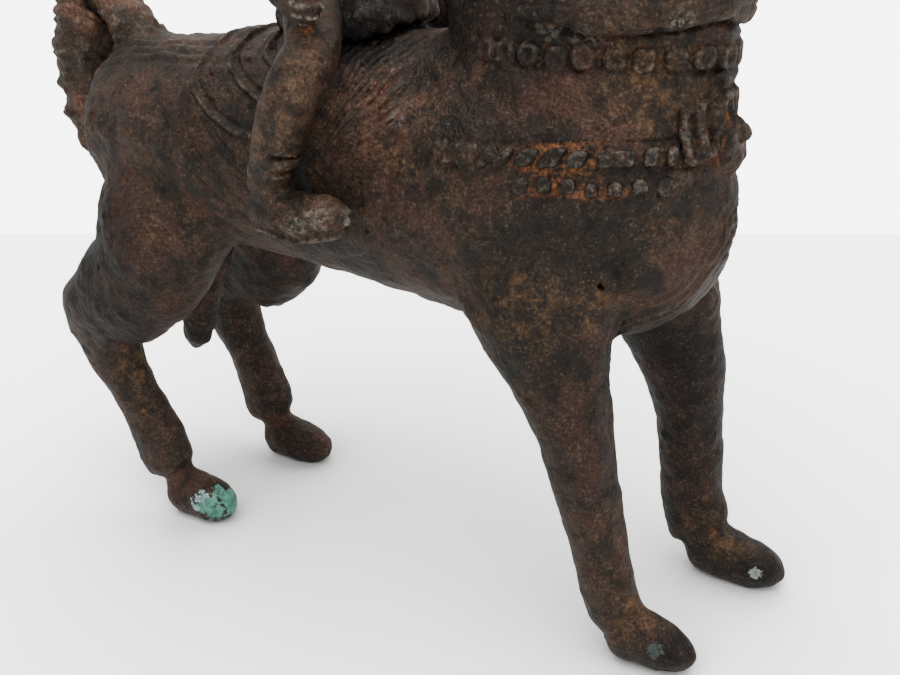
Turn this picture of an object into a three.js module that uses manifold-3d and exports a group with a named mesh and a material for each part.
// A small lost-wax bronze of a harnessed stallion with a seated rider, as folk founders make them.
// Every wax piece that the founder shaped and stuck on is a solid of its own, with a hair gap between
// neighbours. Millimetres, +X towards the horse's chest, +Y to the horse's left, +Z up. The group's origin is
// the middle of the footprint of its bounding box, on the ground that the hooves stand on.

import * as THREE from "three";
import { mergeVertices } from "three/addons/utils/BufferGeometryUtils.js";
import Module from "manifold-3d";

const wasm = await Module();
wasm.setup();

// ---------------------------------------------------------------- driving dimensions

const GAP = 0.3; // hair gap between neighbouring pieces
const FACET = 0.08; // slivers and steps smaller than this are smoothed away
const BACK_Z = 111; // height of the horse's back
const CHEST_X = 64.4; // foremost point of the chest, from midway between the fore and hind hooves
const RUMP_X = -85; // rearmost point of the buttocks
const STANCE_Y = 17; // each hoof's distance from the middle plane
const STRAP_T = 1.5; // how far a strap stands out of the skin
const CLOTH_T = 1.3; // thickness of the saddle cloth
const BEAD_R = 2.1; // radius of a harness bead
const BEAD_RISE = 0.4; // how far a bead's middle stands out of the skin
const REIN_R = 1.1; // radius of a rein
const COLLAR_Z = 115.2; // height of the rolled collar round the front of the neck's base
const COLLAR_BEADS_Z = 107.5;
const BREAST_BAND_Z = 93.7;
const BREAST_BEADS_Z = 89.1;
const SEAT_Z = 118; // height of the saddle's seat

// ---------------------------------------------------------------- materials

const bronze = (color, roughness) => new THREE.MeshStandardMaterial({ color, roughness, metalness: 0.8 });
const HORSE_BRONZE = bronze(0x43302a, 0.55);
const HARNESS_BRONZE = bronze(0x38302c, 0.5);
const CLOTH_BRONZE = bronze(0x3c3a35, 0.6);
const RIDER_BRONZE = bronze(0x5a4436, 0.5);

// ---------------------------------------------------------------- solids

function solidOf(geometry) {
  const bare = geometry.index ? geometry.clone() : geometry;
  for (const name of Object.keys(bare.attributes)) if (name !== "position") bare.deleteAttribute(name);
  const merged = mergeVertices(bare, 1e-4);
  const solid = new wasm.Manifold(
    new wasm.Mesh({
      numProp: 3,
      vertProperties: new Float32Array(merged.attributes.position.array),
      triVerts: new Uint32Array(merged.index.array),
    }),
  );
  return solid;
}

function geometryOf(solid) {
  const mesh = solid.simplify(FACET).getMesh();
  const geometry = new THREE.BufferGeometry();
  geometry.setAttribute("position", new THREE.BufferAttribute(mesh.vertProperties, 3));
  geometry.setIndex(new THREE.BufferAttribute(mesh.triVerts, 1));
  geometry.computeVertexNormals();
  return geometry;
}

const union = (...solids) => solids.reduce((a, b) => a.add(b));
const cut = (solid, ...tools) => tools.reduce((a, b) => a.subtract(b), solid);

// The biggest body of a solid, for a cut that leaves crumbs.
const biggest = (solid) => solid.decompose().reduce((a, b) => (a.volume() > b.volume() ? a : b));

// A hand-rolled piece of wax: rings along a smooth line through the stations, closed by a dome at each end.
// A station is [x, y, z, half-width across the line, half-depth]. The width lies along `across`.
function roll(stations, { sides = 14, rings = 14, domes = [0.12, 0.12], across = [0, 1, 0], grow = 0 } = {}) {
  const line = new THREE.CatmullRomCurve3(stations.map(([x, y, z]) => new THREE.Vector3(x, y, z)));
  const radii = new THREE.CatmullRomCurve3(stations.map((s) => new THREE.Vector3(s[3], s[4], 0)));
  const geometry = new THREE.SphereGeometry(1, sides, rings);
  const position = geometry.attributes.position;
  const point = new THREE.Vector3();
  for (let i = 0; i < position.count; i++) {
    point.fromBufferAttribute(position, i);
    const t = Math.acos(THREE.MathUtils.clamp(point.y, -1, 1)) / Math.PI;
    const turn = Math.atan2(point.z, point.x);
    const along = line.getTangent(t);
    const side = new THREE.Vector3(...across);
    side.addScaledVector(along, -along.dot(side)).normalize();
    const deep = new THREE.Vector3().crossVectors(along, side);
    const end = t < 0.5 ? t / domes[0] : (1 - t) / domes[1];
    const swell = end >= 1 ? 1 : Math.sqrt(Math.max(0, 1 - (1 - end) ** 2));
    const pole = t < 1e-6 ? -grow : t > 1 - 1e-6 ? grow : 0;
    const radius = radii.getPoint(t);
    const ring = line
      .getPoint(t)
      .addScaledVector(side, Math.cos(turn) * swell * (radius.x + grow))
      .addScaledVector(deep, Math.sin(turn) * swell * (radius.y + grow))
      .addScaledVector(along, pole);
    position.setXYZ(i, ring.x, ring.y, ring.z);
  }
  return faceOut(geometry);
}

// A roll whose triangles are turned round if they face inwards.
function faceOut(geometry) {
  const bare = geometry.toNonIndexed().attributes.position;
  const [a, b, c] = [new THREE.Vector3(), new THREE.Vector3(), new THREE.Vector3()];
  let volume = 0;
  for (let i = 0; i < bare.count; i += 3) {
    a.fromBufferAttribute(bare, i);
    b.fromBufferAttribute(bare, i + 1);
    c.fromBufferAttribute(bare, i + 2);
    volume += a.dot(b.cross(c));
  }
  if (volume < 0) geometry.index.array.reverse();
  return solidOf(geometry);
}

function box(x0, x1, y0, y1, z0, z1) {
  const geometry = new THREE.BoxGeometry(x1 - x0, y1 - y0, z1 - z0);
  geometry.translate((x0 + x1) / 2, (y0 + y1) / 2, (z0 + z1) / 2);
  return solidOf(geometry);
}

// A level slab, tipped about the Y axis through its middle so that its front end is raised by `tip` degrees.
function slab(z, height, tip = 0, x = CHEST_X / 2) {
  const geometry = new THREE.BoxGeometry(300, 200, height);
  geometry.rotateY(THREE.MathUtils.degToRad(-tip));
  geometry.translate(x, 0, z);
  return solidOf(geometry);
}

function ball(x, y, z, rx, ry = rx, rz = rx, sides = 10, rings = 7) {
  const geometry = new THREE.SphereGeometry(1, sides, rings);
  geometry.scale(rx, ry, rz);
  geometry.translate(x, y, z);
  return solidOf(geometry);
}

const mirrored = (stations) => stations.map(([x, y, z, ...radii]) => [x, -y, z, ...radii]);
const ground = box(-200, 200, -100, 100, -50, 0);

// ---------------------------------------------------------------- the horse

const TRUNK = [
  [RUMP_X, 0, 92.5, 10, 11],
  [-72, 0, 91.5, 19, 18.5],
  [-50, 0, 88.5, 21.5, BACK_Z - 88.5],
  [-22, 0, 87.6, 21.5, BACK_Z - 87.6],
  [5, 0, 85.6, 22.5, BACK_Z - 85.6],
  [26, 0, 84.6, 22.5, 28],
  [45.5, 0, 86, 20, 27.5],
  [CHEST_X - 0.5, 0, 86.5, 14, 21],
];
const trunkForm = (grow = 0) => roll(TRUNK, { sides: 20, rings: 16, domes: [0.12, 0.1], grow });

const NECK = [
  [33, 0, 92, 19, 27],
  [35.5, 0, 105, 17.5, 27],
  [38.5, 0, 116, 15.5, 25],
  [44.5, 0, 131, 12, 18.5],
  [52, 0, 146, 9.8, 14],
  [57, 0, 158, 8.4, 10.5],
  [61, 0, 165, 7, 8],
];
const neckForm = (grow = 0) => roll(NECK, { sides: 16, rings: 12, domes: [0.06, 0.12], grow });

const torsoForm = (grow = 0) => union(trunkForm(grow), neckForm(grow));

const HEAD = [
  [53, 0, 166, 6.5, 7],
  [60, 0, 164.5, 8, 9.5],
  [68, 0, 159.5, 7.6, 9.6],
  [77, 0, 152.5, 6, 7.6],
  [86, 0, 145.5, 4.9, 6],
  [93, 0, 140.5, 5.2, 5.8],
];
const headForm = (grow = 0) => roll(HEAD, { sides: 14, rings: 12, domes: [0.14, 0.12], grow });

const FORE_LEG = [
  [31, -11, 82, 9, 12],
  [32.9, -14, 69.5, 9.5, 14.6],
  [38.2, -16, 56, 8, 10],
  [41.9, -STANCE_Y, 44, 6.8, 6.5],
  [44, -STANCE_Y, 34, 5.8, 6.1],
  [46.3, -STANCE_Y, 22, 4.6, 5.2],
  [48.6, -STANCE_Y, 12, 4.4, 5.2],
  [51.5, -STANCE_Y, 6.5, 4.6, 5],
];
const FORE_HOOF = [
  [47.3, -STANCE_Y, 5.2, 3.8, 4],
  [52, -STANCE_Y + 0.4, 5.2, 4.5, 5.8],
  [58, -STANCE_Y + 0.8, 4.2, 4.6, 5],
  [65, -STANCE_Y + 1, 3, 3.2, 3.4],
];

// The legs are made by hand, so the left ones differ: they stand a little ahead, and are thicker lower down.
const LEFT_FORE_LEG = [
  [37, 11, 82, 9.5, 13],
  [42, 14, 70, 9.5, 12.8],
  [46.5, 16, 56, 8, 10.5],
  [49.3, STANCE_Y, 44, 7, 8.3],
  [50.7, STANCE_Y, 34, 6, 6.5],
  [51.4, STANCE_Y, 22, 5.2, 6.7],
  [52.6, STANCE_Y, 12, 5, 7.4],
  [55.5, STANCE_Y, 6.5, 5, 6.2],
];
const LEFT_FORE_HOOF = [
  [50.2, STANCE_Y, 5.4, 4.4, 4.8],
  [57, STANCE_Y - 0.4, 5.2, 5, 6],
  [65, STANCE_Y - 0.8, 4, 5, 4.8],
  [72.8, STANCE_Y - 0.8, 3, 3.4, 3.2],
];

const HIND_LEG = [
  [-52.5, -11, 86, 10, 17],
  [-56.8, -14, 73, 11.5, 16.8],
  [-64.4, -16.5, 60, 10, 13.6],
  [-79.2, -STANCE_Y, 50, 8, 14.2],
  [-79.8, -STANCE_Y, 40.5, 6.2, 8.6],
  [-73.5, -STANCE_Y, 28, 5.2, 6],
  [-68.2, -STANCE_Y, 16, 5.5, 7.6],
  [-64, -STANCE_Y, 7.5, 5.2, 7],
];
const HIND_HOOF = [
  [-68.4, -STANCE_Y, 5.5, 4, 4.2],
  [-63, -STANCE_Y + 0.4, 5.2, 5.2, 6],
  [-56, -STANCE_Y + 0.6, 4.4, 5.4, 5.4],
  [-47, -STANCE_Y + 0.6, 2.9, 4, 3.3],
];
const LEFT_HIND_LEG = [
  [-52.5, 11, 86, 10, 17],
  [-54, 14, 73, 11.5, 16.8],
  [-56.8, 16.5, 59.5, 10, 16.3],
  [-71.4, STANCE_Y, 50, 8, 15.2],
  [-73.4, STANCE_Y, 40.5, 6.2, 9],
  [-68.4, STANCE_Y, 28, 5.2, 6],
  [-65, STANCE_Y, 16, 5.5, 7.6],
  [-61.6, STANCE_Y, 7.5, 5.2, 7],
];
const LEFT_HIND_HOOF = [
  [-66.6, STANCE_Y, 5.5, 4, 4.6],
  [-60, STANCE_Y - 0.4, 5.2, 5.2, 6],
  [-52.5, STANCE_Y - 0.6, 4.4, 5.4, 5.2],
  [-44.2, STANCE_Y - 0.6, 2.9, 4, 3.3],
];

function legForm(leg, hoof, grow = 0) {
  const shank = roll(leg, { sides: 12, rings: 14, domes: [0.14, 0.05], grow });
  const foot = roll(hoof, { sides: 10, rings: 7, domes: [0.25, 0.25], grow });
  return cut(union(shank, foot), ground);
}

const LEGS = {
  right_fore_leg: [FORE_LEG, FORE_HOOF],
  left_fore_leg: [LEFT_FORE_LEG, LEFT_FORE_HOOF],
  right_hind_leg: [HIND_LEG, HIND_HOOF],
  left_hind_leg: [LEFT_HIND_LEG, LEFT_HIND_HOOF],
};
const legsForm = (grow) => union(...Object.values(LEGS).map(([leg, hoof]) => legForm(leg, hoof, grow)));

// Two upright leaves of wax behind the poll.
function ear(side, grow = 0) {
  const stations = [
    [57, side * 4.2, 168, 2.2, 2.6],
    [56, side * 5.4, 173, 2.6, 3.2],
    [55.5, side * 6.6, 178, 1.9, 2.3],
    [56, side * 7.2, 183, 0.7, 0.8],
  ];
  return roll(stations, { sides: 8, rings: 7, domes: [0.2, 0.15], grow });
}

// The clipped mane is a comb of wax along the crest, notched between the locks.
const MANE = [
  [9, 0, 113, 2.6, 4],
  [17.5, 0, 124, 2.8, 5],
  [31, 0, 140, 2.8, 5.2],
  [42, 0, 155, 2.7, 5],
  [51, 0, 167, 2.6, 4.6],
  [58, 0, 174, 2.2, 3.2],
];
function mane() {
  const line = new THREE.CatmullRomCurve3(MANE.map(([x, y, z]) => new THREE.Vector3(x, y, z)));
  const locks = 11;
  const notches = Array.from({ length: locks }, (_, i) => {
    const at = line.getPoint((i + 1) / (locks + 1));
    const geometry = new THREE.BoxGeometry(4, 12, 0.9);
    geometry.rotateY(THREE.MathUtils.degToRad(48));
    geometry.translate(at.x - 4.6, 0, at.z + 4.4);
    return solidOf(geometry);
  });
  return cut(roll(MANE, { sides: 8, rings: 14, domes: [0.06, 0.08] }), ...notches);
}

// The dock rises from the croup and arches over, and the plaited switch hangs from it behind the buttocks.
const DOCK = [
  [-65.5, 0, 104, 6.4, 5.4],
  [-73, 0, 112.5, 6, 4.6],
  [-79, 0, 119.5, 6, 5],
  [-83.5, 0, 123, 6.2, 6],
];
const SWITCH = [
  [-79, 0, 125, 6.2, 5.4],
  [-83, 0, 120.5, 7.8, 7.6],
  [-86.6, 0, 110, 8, 7.6],
  [-90, 0, 99, 7, 6.8],
  [-91.6, 0, 89, 5.2, 5],
  [-90, 0, 79.5, 2.4, 2.5],
];
const dockForm = (grow = 0) => roll(DOCK, { sides: 12, rings: 8, domes: [0.12, 0.2], grow });

// The switch is plaited, so lobes swell along it, left and right by turns.
function tailSwitch() {
  const line = new THREE.CatmullRomCurve3(SWITCH.map(([x, y, z]) => new THREE.Vector3(x, y, z)));
  const girth = new THREE.CatmullRomCurve3(SWITCH.map((s) => new THREE.Vector3(s[3], s[4], 0)));
  const pairs = 7;
  const lobes = [];
  for (let i = 0; i < pairs; i++) {
    for (const side of [-1, 1]) {
      const t = (i + (side > 0 ? 0.75 : 0.25)) / (pairs + 0.4);
      const at = line.getPoint(t);
      const size = girth.getPoint(t).x;
      lobes.push(ball(at.x - size * 0.12, side * size * 0.5, at.z, size * 0.74, size * 0.6, 3.4, 6, 4));
    }
  }
  return union(roll(SWITCH, { sides: 8, rings: 10, domes: [0.15, 0.1] }), ...lobes);
}

const sheath = () =>
  roll(
    [
      [-56, 0, 67, 3.4, 4],
      [-61, 0, 56, 3.4, 4],
      [-66.5, 0, 46, 3.6, 4.2],
      [-70.3, 0, 34.5, 3, 3.4],
    ],
    { sides: 10, rings: 9, domes: [0.1, 0.16] },
  );

const eye = (side) => ball(67, side * 6.9, 162.4, 2.6, 2.1, 2.1);

// ---------------------------------------------------------------- the harness

// A strap is the part of a skin round the torso that lies within a slab.
const band = (z, height, thickness, tip) =>
  cut(torsoForm(thickness), torsoForm(GAP)).intersect(slab(z, height, tip));

const skin = new THREE.MeshBasicMaterial({ side: THREE.DoubleSide });
const probe = new THREE.Mesh(geometryOf(torsoForm(GAP)), skin);
const AXIS_X = 30; // the middle of the chest and the neck's base, from which the harness is laid out

// Where a line from the chest's middle, turned from straight ahead, leaves the torso.
function onTorso(turn, z) {
  const out = new THREE.Vector3(Math.cos(turn), Math.sin(turn), 0);
  const hits = new THREE.Raycaster(new THREE.Vector3(AXIS_X, 0, z), out).intersectObject(probe);
  return hits[hits.length - 1].point;
}

// Points on the torso at one height, evenly spaced from one end's turn to the other's.
function laidRound(z, fromDeg, toDeg, pitch) {
  const fine = Array.from({ length: 181 }, (_, i) =>
    onTorso(THREE.MathUtils.degToRad(fromDeg + ((toDeg - fromDeg) * i) / 180), z),
  );
  const line = new THREE.CatmullRomCurve3(fine);
  const count = Math.round(line.getLength() / pitch);
  return line.getSpacedPoints(count);
}

// Wax beads pressed on one against the next, round the front of the horse.
function beadString(z, fromDeg, toDeg) {
  const beads = laidRound(z, fromDeg, toDeg, BEAD_R * 1.65).map((p) => {
    const turn = Math.atan2(p.y, p.x - AXIS_X);
    const geometry = new THREE.SphereGeometry(BEAD_R, 6, 3);
    geometry.rotateZ(turn + Math.PI / 2);
    geometry.translate(p.x + BEAD_RISE * Math.cos(turn), p.y + BEAD_RISE * Math.sin(turn), p.z);
    return solidOf(geometry);
  });
  return biggest(cut(union(...beads), torsoForm(GAP)));
}

// Each half of the breast band is a rope of slanting wax links that ends at the pendant.
function breastBand(side) {
  const reach = 100;
  const links = laidRound(BREAST_BAND_Z, 4 * side, reach * side, 4.6).map((p) => {
    const geometry = new THREE.SphereGeometry(1, 6, 3);
    geometry.scale(2.7, 1.9, 1.5);
    geometry.rotateY(THREE.MathUtils.degToRad(-35));
    geometry.rotateZ(Math.atan2(p.y, p.x - AXIS_X) + Math.PI / 2);
    geometry.translate(p.x, p.y, p.z);
    return solidOf(geometry);
  });
  const cage = side > 0 ? box(AXIS_X - 12, 200, 0, 100, 0, 200) : box(AXIS_X - 12, 200, -100, 0, 0, 200);
  const strap = band(BREAST_BAND_Z, 3.8, 1.1).intersect(cage);
  return biggest(cut(union(strap, ...links), torsoForm(GAP), pendantForm(GAP)));
}

// A bell-shaped tassel with a loop above it, in the middle of the breast band.
const PENDANT = [
  [CHEST_X - 3.1, 0, 102, 2.6, 1.8],
  [CHEST_X - 2.6, 0, 98, 4.6, 2.4],
  [CHEST_X - 2.4, 0, 93, 4.2, 2.4],
  [CHEST_X - 2.9, 0, 87, 2.4, 2.4],
];
const pendantForm = (grow = 0) => roll(PENDANT, { sides: 12, rings: 10, domes: [0.2, 0.2], grow });

// The collar is a thick roll round the front of the neck's base, which tapers away at its ends.
const collarPath = laidRound(COLLAR_Z, -86, 86, 5.2);
function collarForm(grow = 0) {
  const waves = 6;
  const stations = collarPath.map((p, i) => {
    const share = i / (collarPath.length - 1);
    return [p.x, p.y, p.z + 0.7 * Math.sin(share * Math.PI * waves), 2.9, 2.4];
  });
  return roll(stations, { sides: 10, rings: 34, domes: [0.12, 0.12], across: [0, 0, 1], grow });
}

// The saddle cloth hangs over both sides. Its outline is a rounded skirt, seen from the side.
const CLOTH_BACK_X = -47;
const CLOTH_FRONT_X = 13;
const CLOTH_HEM_Z = 71;
function clothOutline(grow = 0) {
  const outline = new THREE.Shape();
  outline.moveTo(CLOTH_FRONT_X - 4 + grow, 130);
  outline.lineTo(CLOTH_BACK_X + 6 - grow, 130);
  outline.bezierCurveTo(CLOTH_BACK_X - 4 - grow, 104, CLOTH_BACK_X - grow, 80, -24, CLOTH_HEM_Z - grow);
  outline.bezierCurveTo(-12, CLOTH_HEM_Z - 3 - grow, 4 + grow, CLOTH_HEM_Z + 2 - grow, 8 + grow, 84);
  outline.bezierCurveTo(10 + grow, 96, CLOTH_FRONT_X + grow, 104, CLOTH_FRONT_X - 4 + grow, 130);
  const geometry = new THREE.ExtrudeGeometry(outline, { depth: 80, bevelEnabled: false, curveSegments: 12 });
  geometry.rotateX(Math.PI / 2);
  geometry.translate(0, 40, 0);
  return solidOf(geometry);
}
const clothForm = (grow = 0) => trunkForm(GAP + CLOTH_T + grow).intersect(clothOutline(grow));
const saddleCloth = () => cut(clothForm(), trunkForm(GAP));

// A strap from the cloth round the buttocks, under the tail.
function crupper() {
  const strap = cut(trunkForm(GAP + STRAP_T), trunkForm(GAP)).intersect(slab(94, 4.6, -3, -60));
  return cut(strap.intersect(box(-120, -30, -60, 60, 0, 200)), clothOutline(GAP));
}

// The saddle has a low seat between a raised pommel and cantle.
const SADDLE = [
  [-26, 0, 118, 6.5, 4.5],
  [-21, 0, 114.5, 9.5, 5.5],
  [-12, 0, 112.5, 12, 6],
  [-4, 0, 113.5, 12, 6],
  [3.5, 0, 118.5, 8, 5],
];
const saddleForm = (grow = 0) => roll(SADDLE, { sides: 12, rings: 12, domes: [0.14, 0.14], grow });

// ---------------------------------------------------------------- the bridle

const headBand = (x, z, width, tilt) => {
  const geometry = new THREE.BoxGeometry(width, 60, 40);
  geometry.rotateY(THREE.MathUtils.degToRad(tilt));
  geometry.translate(x, 0, z);
  return cut(headForm(GAP + 1.1), headForm(GAP)).intersect(solidOf(geometry));
};
const noseband = () => headBand(81.5, 149, 2.6, 38);
const browband = () => headBand(62.5, 163.5, 2.6, 24);

// Each rein runs from the noseband along the neck to the rider's left hand.
function rein(side) {
  const at = (x, y, z) => new THREE.Vector3(x, side * y, z);
  const hand = side > 0 ? at(11.6, 11, 128) : at(11.6, -6.4, 128);
  const line = new THREE.CatmullRomCurve3([
    at(80.5, 8.2, 146.5),
    at(70, 12, 140),
    at(56, 15.2, 133),
    at(40, 17, 128.5),
    at(24, 12.5, 127.2),
    hand,
  ]);
  const section = new THREE.Shape().absellipse(0, 0, REIN_R, REIN_R, 0, Math.PI * 2);
  return solidOf(new THREE.ExtrudeGeometry(section, { steps: 16, extrudePath: line, curveSegments: 2 }));
}

// ---------------------------------------------------------------- the rider

const RIDER_X = -18; // the middle of the rider's seat
const RIDER_TORSO = [
  [RIDER_X, 0, SEAT_Z - 2, 11, 9.5],
  [RIDER_X - 0.5, 0, SEAT_Z + 7, 10, 8.4],
  [RIDER_X - 0.5, 0, SEAT_Z + 16, 8.4, 6.6],
  [RIDER_X, 0, SEAT_Z + 26, 10.6, 7.2],
  [RIDER_X, 0, SEAT_Z + 33, 10.5, 6.2],
  [RIDER_X + 0.5, 0, SEAT_Z + 39, 3.8, 3.8],
];
const riderTorsoForm = (grow = 0) => roll(RIDER_TORSO, { sides: 12, rings: 12, domes: [0.08, 0.05], grow });

const RIDER_HEAD = [
  [RIDER_X + 1.2, 0, SEAT_Z + 37.5, 4.4, 4.6],
  [RIDER_X + 1.6, 0, SEAT_Z + 42, 6.2, 7],
  [RIDER_X + 1, 0, SEAT_Z + 48, 7.2, 8],
  [RIDER_X + 0.4, 0, SEAT_Z + 54.5, 6, 6.6],
];
const riderHeadForm = (grow = 0) => roll(RIDER_HEAD, { sides: 12, rings: 10, domes: [0.2, 0.22], grow });

const TURBAN_Z = SEAT_Z + 54.5;
const turbanForm = (grow = 0) => {
  const dome = ball(RIDER_X, 0, TURBAN_Z + 2.5, 9 + grow, 8.8 + grow, 7 + grow, 14, 8);
  const brim = new THREE.TorusGeometry(7.6, 2.9 + grow, 7, 14);
  brim.rotateY(THREE.MathUtils.degToRad(8));
  brim.translate(RIDER_X + 0.3, 0, TURBAN_Z - 1);
  return union(dome, solidOf(brim));
};

// The thigh slopes from the hip to a knee at the saddle's side, and the shin hangs down and back.
const RIDER_RIGHT_LEG = [
  [RIDER_X + 5, -10, SEAT_Z + 2, 5.2, 5.2],
  [-7.5, -17.5, 115.5, 4.8, 4.8],
  [-2.5, -23.8, 109.5, 5, 5],
  [-3.2, -27.8, 105, 5.3, 5.2],
  [-7, -28.4, 98, 5, 5],
  [-11.4, -28.2, 90.5, 4.2, 4.2],
  [-14.6, -27.8, 83.5, 3.9, 3.9],
];
const RIDER_RIGHT_FOOT = [
  [-19, -27.4, 83.4, 3.6, 3.8],
  [-12, -27.6, 82.4, 4.2, 4.4],
  [-4, -28, 82.2, 4.5, 4.6],
  [6, -27.6, 83, 3.8, 3.6],
];
const riderLegForm = (side, grow = 0) => {
  const [leg, foot] = [RIDER_RIGHT_LEG, RIDER_RIGHT_FOOT].map((s) => (side > 0 ? mirrored(s) : s));
  return union(
    roll(leg, { sides: 10, rings: 13, domes: [0.12, 0.08], across: [1, 0, 0.3], grow }),
    roll(foot, { sides: 10, rings: 7, domes: [0.25, 0.25], grow }),
  );
};

// The right hand rests on the right knee, and the left hand holds the reins.
const RIGHT_ARM = [
  [RIDER_X, -9, SEAT_Z + 31, 4.2, 4.2],
  [RIDER_X - 2, -14.5, SEAT_Z + 26, 4.4, 4.4],
  [RIDER_X - 3, -19.5, SEAT_Z + 15, 3.7, 3.7],
  [RIDER_X + 1, -22.5, SEAT_Z + 7, 3.4, 3.4],
  [RIDER_X + 9, -24.6, SEAT_Z + 4.4, 3.2, 3.2],
  [RIDER_X + 15, -26.6, SEAT_Z + 1, 3.6, 3.6],
  [RIDER_X + 22, -27.4, SEAT_Z - 1.4, 4.2, 4],
];
const LEFT_ARM = [
  [RIDER_X, 9, SEAT_Z + 31, 4.2, 4.2],
  [RIDER_X - 1, 14.5, SEAT_Z + 25, 4.3, 4.3],
  [RIDER_X + 2, 17.5, SEAT_Z + 15, 3.6, 3.6],
  [RIDER_X + 10, 15, SEAT_Z + 10, 3.3, 3.3],
  [RIDER_X + 20, 8, SEAT_Z + 9.4, 3, 3],
  [RIDER_X + 26, 3.4, SEAT_Z + 10, 3.7, 3.4],
];
const armForm = (stations, grow = 0) =>
  roll(stations, { sides: 8, rings: 12, domes: [0.1, 0.1], across: [0.2, 0, 1], grow });

const sashForm = (grow = 0) =>
  riderTorsoForm(GAP + 1.3 + grow).intersect(slab(SEAT_Z + 13, 4.6 + 2 * grow, 4, RIDER_X));

// ---------------------------------------------------------------- assembly

const LIMB_ROOM = 2 * GAP; // clearance between the sash and the rider's legs

function build() {
  const trunk = biggest(cut(trunkForm(), legsForm(GAP)));
  const neck = biggest(cut(neckForm(), trunkForm(GAP)));
  const head = biggest(cut(headForm(), neckForm(GAP)));
  const dressed = union(torsoForm(GAP), headForm(GAP));
  const pendant = biggest(cut(pendantForm(), torsoForm(GAP)));
  const collarBand = biggest(cut(collarForm(), torsoForm(GAP)));
  const dock = biggest(cut(dockForm(), trunkForm(GAP)));
  const cloth = biggest(cut(saddleCloth(), legsForm(GAP), neckForm(GAP), collarForm(GAP)));
  const saddle = biggest(cut(saddleForm(), clothForm(GAP), trunkForm(GAP)));
  const onSaddle = [saddleForm(GAP), clothForm(GAP), trunkForm(GAP)];
  const riderTorso = biggest(cut(riderTorsoForm(), ...onSaddle));
  const riderTorsoGrown = riderTorsoForm(GAP);
  const riderHead = biggest(cut(riderHeadForm(), riderTorsoGrown));
  const rider = {};
  for (const [name, side, arm] of [
    ["right", -1, RIGHT_ARM],
    ["left", 1, LEFT_ARM],
  ]) {
    const leg = biggest(cut(riderLegForm(side), ...onSaddle, riderTorsoGrown));
    rider["rider_" + name + "_leg"] = leg;
    rider["rider_" + name + "_arm"] = biggest(
      cut(armForm(arm), riderTorsoGrown, sashForm(GAP), riderLegForm(side, GAP), saddleForm(GAP)),
    );
  }
  const limbs = union(...[-1, 1].map((side) => riderLegForm(side, LIMB_ROOM)));
  const sash = biggest(cut(sashForm(), riderTorsoGrown, ...onSaddle, limbs));
  const crest = biggest(cut(mane(), dressed, ear(1, GAP), ear(-1, GAP), browbandRoom()));
  const underRein = [armForm(LEFT_ARM, GAP), headForm(GAP + 1.4), torsoForm(GAP), roll(MANE, { grow: GAP })];
  const hoofed = Object.fromEntries(
    Object.entries(LEGS).map(([name, [leg, hoof]]) => [name, legForm(leg, hoof)]),
  );
  return {
    horse: {
      horse_trunk: trunk,
      horse_neck: neck,
      horse_head: head,
      horse_left_ear: biggest(cut(ear(1), dressed)),
      horse_right_ear: biggest(cut(ear(-1), dressed)),
      horse_left_eye: biggest(cut(eye(1), headForm(GAP))),
      horse_right_eye: biggest(cut(eye(-1), headForm(GAP))),
      mane: crest,
      ...hoofed,
      sheath: biggest(cut(sheath(), trunkForm(GAP), legsForm(GAP))),
      tail_dock: dock,
      tail_switch: biggest(cut(tailSwitch(), dockForm(GAP), trunkForm(GAP + STRAP_T), legsForm(GAP))),
    },
    harness: {
      rolled_collar: collarBand,
      collar_bead_string: beadString(COLLAR_BEADS_Z, -105, 105),
      left_breast_band: breastBand(1),
      right_breast_band: breastBand(-1),
      left_breast_beads: beadString(BREAST_BEADS_Z, 13, 78),
      right_breast_beads: beadString(BREAST_BEADS_Z, -78, -13),
      chest_pendant: pendant,
      crupper_strap: biggest(cut(crupper(), dockForm(GAP), legsForm(GAP))),
      noseband: noseband(),
      browband: biggest(cut(browband(), torsoForm(GAP), ear(1, GAP), ear(-1, GAP), eye(1), eye(-1))),
      left_rein: biggest(cut(rein(1), ...underRein)),
      right_rein: biggest(cut(rein(-1), ...underRein)),
    },
    tack: {
      saddle_cloth: cloth,
      saddle,
    },
    rider: {
      rider_torso: riderTorso,
      rider_head: riderHead,
      turban: biggest(cut(turbanForm(), riderHeadForm(GAP))),
      ...rider,
      waist_sash: sash,
    },
  };
}

const browbandRoom = () => headForm(GAP + 1.4).intersect(box(58, 70, -30, 30, 150, 180));

const LOOKS = { horse: HORSE_BRONZE, harness: HARNESS_BRONZE, tack: CLOTH_BRONZE, rider: RIDER_BRONZE };

const statue = new THREE.Group();
for (const [part, pieces] of Object.entries(build())) {
  const group = new THREE.Group();
  for (const [name, solid] of Object.entries(pieces)) {
    const mesh = new THREE.Mesh(geometryOf(solid), LOOKS[part]);
    mesh.name = name;
    group.add(mesh);
  }
  statue.add(group);
}

// The footprint's middle becomes the origin.
const extent = new THREE.Box3().setFromObject(statue);
for (const group of statue.children) {
  group.position.set(-(extent.min.x + extent.max.x) / 2, -(extent.min.y + extent.max.y) / 2, 0);
}

export default statue;
